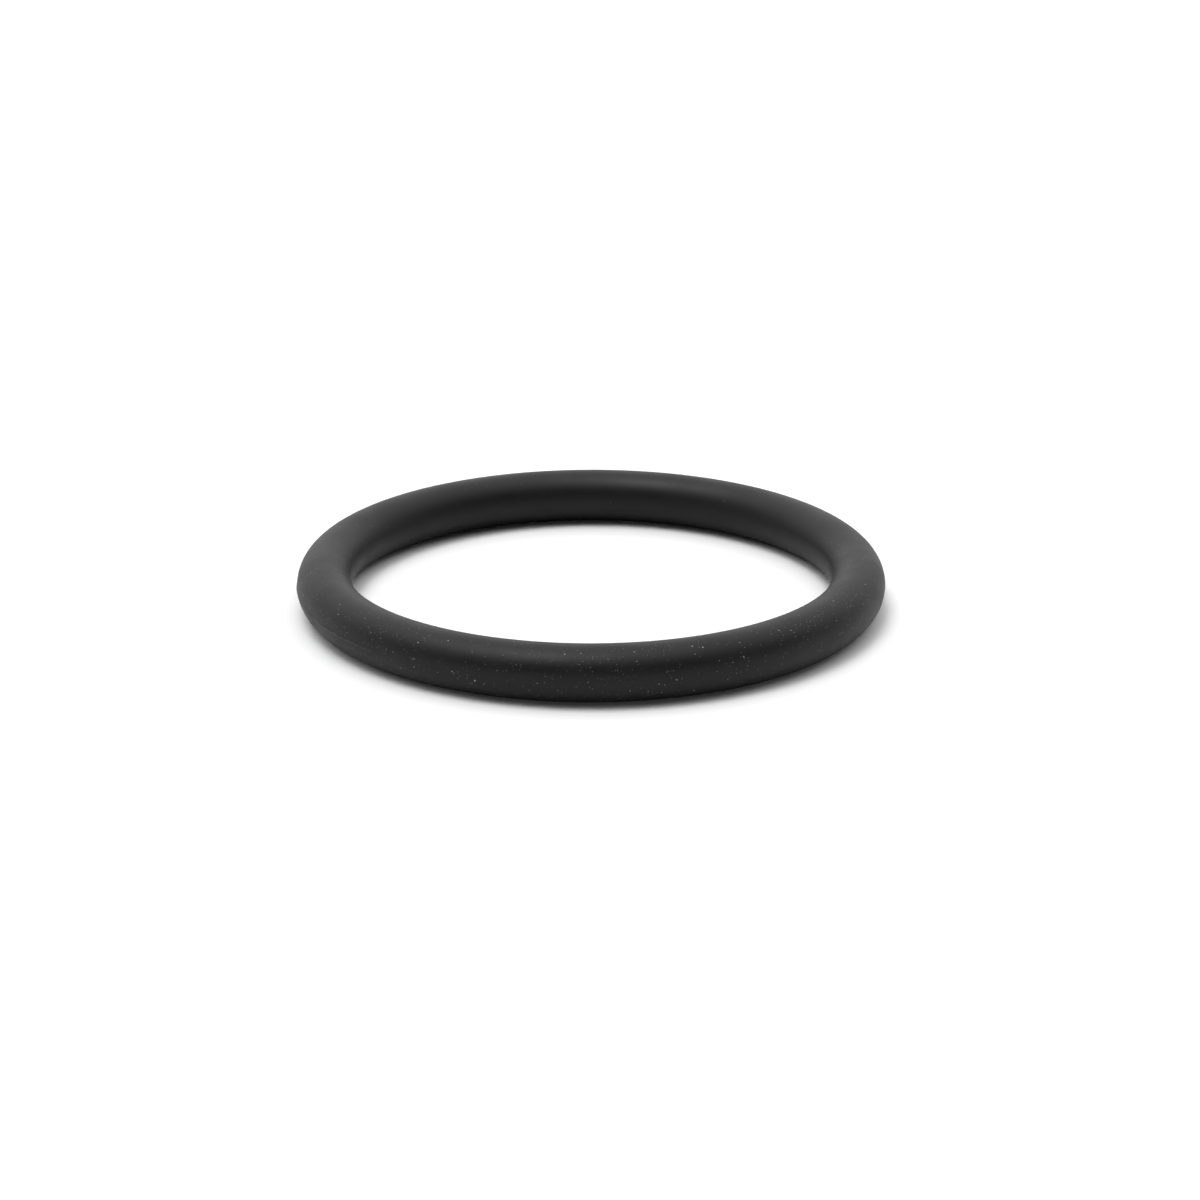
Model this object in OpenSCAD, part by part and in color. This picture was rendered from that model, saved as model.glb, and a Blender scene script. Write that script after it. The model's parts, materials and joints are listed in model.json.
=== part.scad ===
// Rubber o-ring: one solid ring of round section, moulded between an upper and a lower mould half.
// The origin is the centre of the ring, the ring lies in the XY plane, and Z is its axis.
// All sizes are in millimetres.

/* [Ring] */
// Diameter of the hole, measured on the round section
inside_d = 46.2; // [20:0.1:200]
// Diameter of the round section
section_d = 5.3; // [2:0.1:12]

/* [Parting line] */
// Width of the thin line of flash where the mould halves meet, along the outside and the hole
flash_w = 0.15; // [0.08:0.01:0.3]
// Height of that line above the round section
flash_h = 0.06; // [0.02:0.01:0.2]

/* [Quality] */
// Segments round the section
section_segments = 64; // [32:4:128]
// Segments round the ring
ring_segments = 180; // [96:12:360]

/* [Hidden] */

// Radius from the ring's axis to the middle of the section
centre_line_r = (inside_d + section_d) / 2;

rubber_black = [0.13, 0.13, 0.135];

// The section as the mould leaves it: a circle, with a thin bar of flash through its middle
// that comes out on the outside of the ring and in the hole
module moulded_section() {
    circle(d = section_d, $fn = section_segments);
    square([section_d + 2 * flash_h, flash_w], center = true);
}

// The ring: the moulded section turned once round the axis
module o_ring() {
    color(rubber_black)
        rotate_extrude($fn = ring_segments)
            translate([centre_line_r, 0])
                moulded_section();
}

o_ring();
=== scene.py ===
import json
import math

import bpy
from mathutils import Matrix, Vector


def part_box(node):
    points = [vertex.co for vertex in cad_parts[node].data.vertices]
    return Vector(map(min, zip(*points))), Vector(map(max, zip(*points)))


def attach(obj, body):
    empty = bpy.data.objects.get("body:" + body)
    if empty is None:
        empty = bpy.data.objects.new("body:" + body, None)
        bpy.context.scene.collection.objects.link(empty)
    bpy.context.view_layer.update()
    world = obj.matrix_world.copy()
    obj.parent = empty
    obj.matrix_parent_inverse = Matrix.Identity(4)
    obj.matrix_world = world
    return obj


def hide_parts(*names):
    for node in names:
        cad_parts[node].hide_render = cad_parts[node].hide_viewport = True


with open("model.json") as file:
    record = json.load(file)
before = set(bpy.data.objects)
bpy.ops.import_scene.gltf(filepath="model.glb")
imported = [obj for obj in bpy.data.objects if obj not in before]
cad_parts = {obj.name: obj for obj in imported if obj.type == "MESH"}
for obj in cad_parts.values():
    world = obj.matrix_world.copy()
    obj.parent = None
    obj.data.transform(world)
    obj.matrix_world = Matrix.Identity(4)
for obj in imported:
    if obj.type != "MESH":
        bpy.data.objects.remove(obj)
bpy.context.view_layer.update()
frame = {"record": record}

MM = 0.001

# The ring's own sizes, read from the frame
lowest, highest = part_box("o_ring")
lands = {mount["name"]: mount["dims"] for mount in frame["record"]["mounts"]}
SECTION_R = (highest.z - lowest.z) / 2
CENTRE_LINE_R = (lands["hole"]["r_mm"] + lands["outside"]["r_mm"]) / 2 * MM
OUTSIDE_R = lands["outside"]["r_mm"] * MM
TABLE_Z = lowest.z

# How finely the ring is modelled, and the angle past which an edge of it stays sharp
RING_STEPS = 256
SECTION_STEPS = 96
SHARP_ANGLE = math.radians(25)

# The flash starts to rise this far above and below the middle of the section. Its lower half, from the
# lower half of the mould, stands further out than its upper half, which leaves a fine ledge.
FLASH_FOOT_ABOVE = 0.4 * MM
FLASH_FOOT_BELOW = 1.0 * MM
FLASH_UPPER_SHARE = 0.45
# It stands proud at the left of the photograph, and was trimmed to a low share of that elsewhere
FLASH_PROUD = 0.10 * MM
FLASH_LOW = 0.12
FLASH_AZIMUTH = math.radians(205)
FLASH_NARROWNESS = 16
# Its height goes up and down along the ring: the size of these waves, and the mean of their pattern
FLASH_WAVE = 3 * MM
FLASH_WAVE_MEAN = 0.5

# The camera, fitted to the ring's outline in the photograph
CAMERA_DISTANCE = 12 * CENTRE_LINE_R
CAMERA_ELEVATION = math.radians(19.426)
CAMERA_LENS = 95.655
CAMERA_SENSOR_W = 36
CAMERA_SEES_FROM = 10 * MM
AIM_RIGHT = 0.03307 * CENTRE_LINE_R
AIM_DOWN = 0.09263 * CENTRE_LINE_R

# The rubber: its two nearly equal blacks, its gloss, and the faint clouding that mixes and roughens them
RUBBER_DARK = (0.0012, 0.0012, 0.0012, 1)
RUBBER_LIGHT = (0.0025, 0.0025, 0.0025, 1)
RUBBER_GLOSS = 0.34
ROUGH_LEAST = 0.47
ROUGH_MOST = 0.53
CLOUD_SIZE = 4 * MM
CLOUD_DETAIL = 3.0
CLOUD_EDGES = (0.3, 0.7)
# The fine grain that the mould gives it
GRAIN_SIZE = 0.12 * MM
GRAIN_STRENGTH = 0.3
GRAIN_DEPTH = 0.01 * MM
# The detail of the grain, and of the other patterns that have none of their own
PLAIN_DETAIL = 2.0

# The painted highlight along the edge of the flash, where it catches the light: its place on the section,
# how far above and below that it reaches, and how far it is full
PAINTED_HIGHLIGHT_COLOUR = (0.045, 0.045, 0.045, 1)
PAINTED_HIGHLIGHT_Z = -0.03 * MM
PAINTED_HIGHLIGHT_REACH = 0.08 * MM
PAINTED_HIGHLIGHT_CORE = 0.02 * MM
# How far round the ring it shows, as cosines from the flash's proudest place
PAINTED_HIGHLIGHT_FAINT = 0.92
PAINTED_HIGHLIGHT_FULL = 0.985
# It is broken up in blotches, and nowhere less than a share
PAINTED_HIGHLIGHT_BLOTCH = 0.6 * MM
PAINTED_HIGHLIGHT_BLOTCH_EDGES = (0.3, 0.6)
PAINTED_HIGHLIGHT_LEAST = 0.4

# The dust, in four sizes: spacing, radius, the share of places that hold a speck, and how dense it is
DUST_COLOUR = (0.56, 0.56, 0.56, 1)
DUST_SIZES = (
    (0.28 * MM, 0.060 * MM, 0.95, 0.27),
    (0.40 * MM, 0.068 * MM, 0.95, 0.38),
    (0.60 * MM, 0.074 * MM, 0.75, 0.74),
    (1.30 * MM, 0.080 * MM, 0.60, 0.85),
)
# The smallest speck and the faintest one of a size, and the full middle of a speck, as shares
SPECK_SMALLEST = 0.6
SPECK_FAINTEST = 0.3
SPECK_CORE = 0.4
# The dust lies thick and thin in patches, nowhere less than a share
DUST_PATCH = 7 * MM
DUST_PATCH_EDGES = (0.35, 0.65)
DUST_PATCH_LEAST = 0.3
# It thins out from the front of the ring to its back
DUST_FRONT_Y = -10 * MM
DUST_BACK_Y = 12 * MM
DUST_AT_BACK = 0.03

# The brightest motes, and the two faint nicks at the left of the photograph: azimuth and section angle
# in degrees, radius, and how pale
MARKS = (
    (248.5, -11, 0.10 * MM, 0.9),
    (299, 24, 0.09 * MM, 0.45),
    (285.5, -1, 0.10 * MM, 0.35),
    (291.5, 58, 0.10 * MM, 0.45),
    (328, 75, 0.10 * MM, 0.4),
    (244, 1, 0.10 * MM, 0.3),
    (191, 30, 0.18 * MM, 0.12),
    (195.5, 20, 0.18 * MM, 0.14),
    (195.2, 16, 0.16 * MM, 0.14),
)

# The table, as it is and as the camera sees it
TABLE_SIDE = 4
TABLE_COLOUR = (0.79, 0.79, 0.79, 1)
TABLE_SEEN = (1.0, 1.0, 1.0, 1)

# The soft lights: azimuth, elevation, the angle of full light and the angle where it ends, in degrees,
# and brightness
LIGHT_COLOUR = (1, 1, 1, 1)
SOFT_LIGHTS = (
    (98, 58, 43, 82, 1.28),
    (195, 77, 4, 20, 5.7),
)
# The pale walls: the elevations between which they fade out, in degrees, and their brightness
WALL_FADE_START = 10
WALL_FADE_END = 14
WALL_BRIGHTNESS = 0.97


def nothing_selected():
    """Deselects everything, so that the next operator acts on its own new piece."""
    bpy.ops.object.select_all(action="DESELECT")


def flash_pride(place):
    """How much a point of the ring is raised by the flash, from 0 to 1."""
    azimuth = math.atan2(place.y, place.x)
    round_the_ring = max(0.0, math.cos(azimuth - FLASH_AZIMUTH)) ** FLASH_NARROWNESS
    if place.z > 0:
        up_the_section = FLASH_UPPER_SHARE * max(0.0, 1 - place.z / FLASH_FOOT_ABOVE)
    else:
        up_the_section = max(0.0, 1 + place.z / FLASH_FOOT_BELOW)
    return (FLASH_LOW + (1 - FLASH_LOW) * round_the_ring) * up_the_section


def displaced(piece, name, weigh, strength, **settings):
    """Moves a piece's vertices outwards, each by its share: the weight that a function gives its place."""
    group = piece.vertex_groups.new(name=name)
    for vertex in piece.data.vertices:
        weight = weigh(vertex.co)
        if weight > 0:
            group.add([vertex.index], weight, "REPLACE")
    moved = piece.modifiers.new(name, "DISPLACE")
    moved.vertex_group = group.name
    moved.mid_level = 0.0
    moved.strength = strength
    for setting, value in settings.items():
        setattr(moved, setting, value)
    bpy.ops.object.modifier_apply(modifier=moved.name)


def moulded_ring():
    """The ring: a torus, with the low uneven line of flash raised along its outside and in its hole."""
    nothing_selected()
    bpy.ops.mesh.primitive_torus_add(
        major_radius=CENTRE_LINE_R,
        minor_radius=SECTION_R,
        major_segments=RING_STEPS,
        minor_segments=SECTION_STEPS,
    )
    ring = bpy.context.object
    ring.name = "moulded_ring"

    unevenness = bpy.data.textures.new("flash_unevenness", "CLOUDS")
    unevenness.noise_scale = FLASH_WAVE
    flash_strength = FLASH_PROUD / FLASH_WAVE_MEAN
    displaced(ring, "flash", flash_pride, flash_strength, texture=unevenness, texture_coords="LOCAL")
    bpy.ops.object.shade_smooth_by_angle(angle=SHARP_ANGLE)
    return ring


def new_node(tree, kind, **settings):
    """Adds a node of a kind, with its settings."""
    made = tree.nodes.new(kind)
    for name, value in settings.items():
        setattr(made, name, value)
    return made


def feed(tree, source, node, socket):
    """Gives a node's input another node's output, or a plain value."""
    if isinstance(source, bpy.types.NodeSocket):
        tree.links.new(source, node.inputs[socket])
    else:
        node.inputs[socket].default_value = source


def maths(tree, operation, first, second=0.0):
    """The result of an operation on one or two numbers."""
    made = new_node(tree, "ShaderNodeMath", operation=operation)
    feed(tree, first, made, 0)
    feed(tree, second, made, 1)
    return made.outputs["Value"]


def measured(tree, operation, first, second):
    """The number that an operation makes of two vectors, such as the distance between them."""
    made = new_node(tree, "ShaderNodeVectorMath", operation=operation)
    feed(tree, first, made, 0)
    feed(tree, second, made, 1)
    return made.outputs["Value"]


def separated(tree, where):
    """The X, Y and Z of a place or a direction, by name."""
    made = new_node(tree, "ShaderNodeSeparateXYZ")
    feed(tree, where, made, "Vector")
    return made.outputs


def eased(tree, value, start, stop, low=0.0, high=1.0):
    """Goes smoothly from low to high as a number goes from start to stop."""
    made = new_node(tree, "ShaderNodeMapRange", interpolation_type="SMOOTHSTEP")
    feed(tree, value, made, "Value")
    feed(tree, start, made, "From Min")
    feed(tree, stop, made, "From Max")
    feed(tree, low, made, "To Min")
    feed(tree, high, made, "To Max")
    return made.outputs["Result"]


def mixed(tree, share, first, second):
    """Goes from one colour to another as a share goes from 0 to 1."""
    made = new_node(tree, "ShaderNodeMix", data_type="RGBA")
    feed(tree, share, made, "Factor")
    feed(tree, first, made, "A")
    feed(tree, second, made, "B")
    return made.outputs["Result"]


def noise(tree, where, size, detail=PLAIN_DETAIL):
    """A cloudy pattern whose blotches are of a size in metres, from 0 to 1."""
    made = new_node(tree, "ShaderNodeTexNoise")
    feed(tree, where, made, "Vector")
    feed(tree, 1 / size, made, "Scale")
    feed(tree, detail, made, "Detail")
    return made.outputs["Fac"]


def specks(tree, where, spacing, radius, share, density):
    """Round specks strewn at random, each with a size and a density of its own."""
    cells = new_node(tree, "ShaderNodeTexVoronoi", feature="F1", voronoi_dimensions="3D")
    feed(tree, where, cells, "Vector")
    feed(tree, 1 / spacing, cells, "Scale")
    chance = new_node(tree, "ShaderNodeSeparateColor")
    feed(tree, cells.outputs["Color"], chance, "Color")
    smallest, largest = SPECK_SMALLEST * radius / spacing, radius / spacing
    reach = eased(tree, chance.outputs["Green"], 0.0, 1.0, smallest, largest)
    inner = maths(tree, "MULTIPLY", reach, SPECK_CORE)
    cover = eased(tree, cells.outputs["Distance"], reach, inner)
    kept = maths(tree, "LESS_THAN", chance.outputs["Red"], share)
    strength = eased(tree, chance.outputs["Blue"], 0.0, 1.0, SPECK_FAINTEST * density, density)
    return maths(tree, "MULTIPLY", maths(tree, "MULTIPLY", cover, kept), strength)


def dust(tree, where):
    """Pale dust in several sizes, thick in some places and thin in others, and thinner at the back."""
    depth = separated(tree, where)["Y"]
    thickness = eased(tree, depth, DUST_BACK_Y, DUST_FRONT_Y, DUST_AT_BACK, 1.0)
    patches = eased(tree, noise(tree, where, DUST_PATCH), *DUST_PATCH_EDGES, DUST_PATCH_LEAST, 1.0)
    thickness = maths(tree, "MULTIPLY", thickness, patches)
    cover = 0.0
    for spacing, radius, share, density in DUST_SIZES:
        share = maths(tree, "MULTIPLY", thickness, share)
        cover = maths(tree, "MAXIMUM", specks(tree, where, spacing, radius, share, density), cover)
    return cover


def on_the_ring(azimuth, section_angle):
    """The place on the round section at an azimuth and a section angle, in degrees."""
    azimuth, section_angle = math.radians(azimuth), math.radians(section_angle)
    out = CENTRE_LINE_R + SECTION_R * math.cos(section_angle)
    return (out * math.cos(azimuth), out * math.sin(azimuth), SECTION_R * math.sin(section_angle))


def marks(tree, where):
    """The motes and nicks that have a place of their own, from 0 to 1."""
    cover = 0.0
    for azimuth, section_angle, radius, paleness in MARKS:
        off = measured(tree, "DISTANCE", where, on_the_ring(azimuth, section_angle))
        mark = eased(tree, off, radius, SPECK_CORE * radius, 0.0, paleness)
        cover = maths(tree, "MAXIMUM", mark, cover)
    return cover


def painted_flash_highlight(tree, where):
    """Where a pale highlight is painted along the edge of the flash, from 0 to 1."""
    height = separated(tree, where)["Z"]
    off_edge = maths(tree, "ABSOLUTE", maths(tree, "SUBTRACT", height, PAINTED_HIGHLIGHT_Z))
    line = eased(tree, off_edge, PAINTED_HIGHLIGHT_REACH, PAINTED_HIGHLIGHT_CORE)
    proudest = (math.cos(FLASH_AZIMUTH) / OUTSIDE_R, math.sin(FLASH_AZIMUTH) / OUTSIDE_R, 0)
    nearness = measured(tree, "DOT_PRODUCT", where, proudest)
    round_the_ring = eased(tree, nearness, PAINTED_HIGHLIGHT_FAINT, PAINTED_HIGHLIGHT_FULL)
    broken_up = eased(tree, noise(tree, where, PAINTED_HIGHLIGHT_BLOTCH), *PAINTED_HIGHLIGHT_BLOTCH_EDGES, PAINTED_HIGHLIGHT_LEAST, 1.0)
    return maths(tree, "MULTIPLY", maths(tree, "MULTIPLY", line, round_the_ring), broken_up)


def rubber():
    """Matte black moulded rubber with a fine grain, faint clouding, pale dust and a painted flash highlight.
    """
    material = bpy.data.materials.new("black_rubber")
    material.use_nodes = True
    tree = material.node_tree
    shader = tree.nodes["Principled BSDF"]
    where = new_node(tree, "ShaderNodeTexCoord").outputs["Object"]
    clouding = noise(tree, where, CLOUD_SIZE, CLOUD_DETAIL)
    grain = noise(tree, where, GRAIN_SIZE)

    black = mixed(tree, clouding, RUBBER_DARK, RUBBER_LIGHT)
    # A pale highlight is painted along the edge of the flash at the left, where it catches the light.
    with_painted_highlight = mixed(tree, painted_flash_highlight(tree, where), black, PAINTED_HIGHLIGHT_COLOUR)
    dusty = maths(tree, "MAXIMUM", dust(tree, where), marks(tree, where))
    feed(tree, mixed(tree, dusty, with_painted_highlight, DUST_COLOUR), shader, "Base Color")

    feed(tree, eased(tree, clouding, *CLOUD_EDGES, ROUGH_LEAST, ROUGH_MOST), shader, "Roughness")
    feed(tree, RUBBER_GLOSS, shader, "Specular IOR Level")
    bump = new_node(tree, "ShaderNodeBump")
    feed(tree, GRAIN_STRENGTH, bump, "Strength")
    feed(tree, GRAIN_DEPTH, bump, "Distance")
    feed(tree, grain, bump, "Height")
    feed(tree, bump.outputs["Normal"], shader, "Normal")
    return material


def table():
    """The white table that the ring lies on. The camera sees it as pure white, the ring as it is."""
    nothing_selected()
    bpy.ops.mesh.primitive_plane_add(size=TABLE_SIDE, location=(0, 0, TABLE_Z))
    top = bpy.context.object
    top.name = "table"
    material = bpy.data.materials.new("table_white")
    material.use_nodes = True
    tree = material.node_tree
    tree.nodes.remove(tree.nodes["Principled BSDF"])
    camera_sees_it = new_node(tree, "ShaderNodeLightPath").outputs["Is Camera Ray"]
    paint = new_node(tree, "ShaderNodeBsdfDiffuse")
    feed(tree, mixed(tree, camera_sees_it, TABLE_COLOUR, TABLE_SEEN), paint, "Color")
    feed(tree, paint.outputs["BSDF"], tree.nodes["Material Output"], "Surface")
    top.data.materials.append(material)


def camera():
    """The camera at the photograph's place and angle."""
    data = bpy.data.cameras.new("camera")
    data.lens = CAMERA_LENS
    data.sensor_width = CAMERA_SENSOR_W
    data.clip_start = CAMERA_SEES_FROM
    eye = bpy.data.objects.new("camera", data)
    bpy.context.scene.collection.objects.link(eye)
    eye.location = CAMERA_DISTANCE * Vector((0, -math.cos(CAMERA_ELEVATION), math.sin(CAMERA_ELEVATION)))
    aim = Vector((AIM_RIGHT, 0, -AIM_DOWN))
    eye.rotation_euler = (aim - eye.location).to_track_quat("-Z", "Y").to_euler()
    bpy.context.scene.camera = eye


def soft_light(tree, toward, azimuth, elevation, inner, outer, brightness):
    """One soft round light on the dome: full inside one angle from its middle, nothing outside the other."""
    azimuth, elevation = math.radians(azimuth), math.radians(elevation)
    level = math.cos(elevation)
    middle = (level * math.cos(azimuth), level * math.sin(azimuth), math.sin(elevation))
    nearness = measured(tree, "DOT_PRODUCT", toward, middle)
    rim, core = math.cos(math.radians(outer)), math.cos(math.radians(inner))
    return eased(tree, nearness, rim, core, 0.0, brightness)


def walls(tree, toward):
    """Pale walls all round the table, which fade out upwards."""
    height = separated(tree, toward)["Z"]
    bottom, top = math.sin(math.radians(WALL_FADE_START)), math.sin(math.radians(WALL_FADE_END))
    return eased(tree, height, top, bottom, 0.0, WALL_BRIGHTNESS)


def studio():
    """A large soft light behind and above the ring, a small one nearly overhead, and the walls."""
    world = bpy.data.worlds.new("studio")
    bpy.context.scene.world = world
    world.use_nodes = True
    tree = world.node_tree
    toward = new_node(tree, "ShaderNodeTexCoord").outputs["Generated"]
    light = 0.0
    for lamp in SOFT_LIGHTS:
        light = maths(tree, "ADD", light, soft_light(tree, toward, *lamp))
    light = maths(tree, "MAXIMUM", light, walls(tree, toward))
    feed(tree, light, tree.nodes["Background"], "Strength")
    feed(tree, LIGHT_COLOUR, tree.nodes["Background"], "Color")


bpy.context.scene.view_settings.view_transform = "Standard"
ring = moulded_ring()
ring.data.materials.append(rubber())
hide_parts("o_ring")
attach(ring, "root")
table()
camera()
studio()
